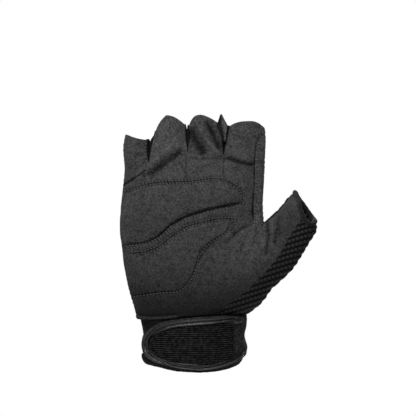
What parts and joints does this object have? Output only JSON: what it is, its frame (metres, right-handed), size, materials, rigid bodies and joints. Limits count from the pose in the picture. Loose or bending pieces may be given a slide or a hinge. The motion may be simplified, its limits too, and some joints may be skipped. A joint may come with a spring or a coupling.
{
  "type": "fingerless sport glove",
  "caption": "Fingerless right-hand sport glove with padded suede palm, mesh back and thumb side, and a wrist cuff with a fastened hook-and-loop tab",
  "frame": {"origin": "the middle of the wrist opening at the cuff's hem, where the glove sits on the wearer", "axes": "+Z towards the fingers, +X towards the thumb's side, -Y out of the palm"},
  "size_m": [0.1311, 0.0463, 0.1691],
  "materials": {
    "suede": "matt mottled charcoal suede",
    "mesh": "black ribbed mesh",
    "cuff": "black knitted cloth",
    "woven": "black fine-ribbed woven cloth",
    "piping": "slightly glossy black piping"
  },
  "bodies": {
    "root": {"palm_panel": "suede", "index_strip": "suede", "upper_pad": "suede", "heel_pad": "suede", "thumb_binding": "suede", "thumb_mesh": "mesh", "back_panel": "mesh", "gusset_little": "mesh", "gusset_middle": "mesh", "gusset_index": "mesh", "gusset_fold": "mesh", "cuff_band": "cuff", "cuff_binding": "cuff", "closure_tab": "cuff", "tab_panel": "woven", "tab_binding": "piping"}
  },
  "joints": []
}
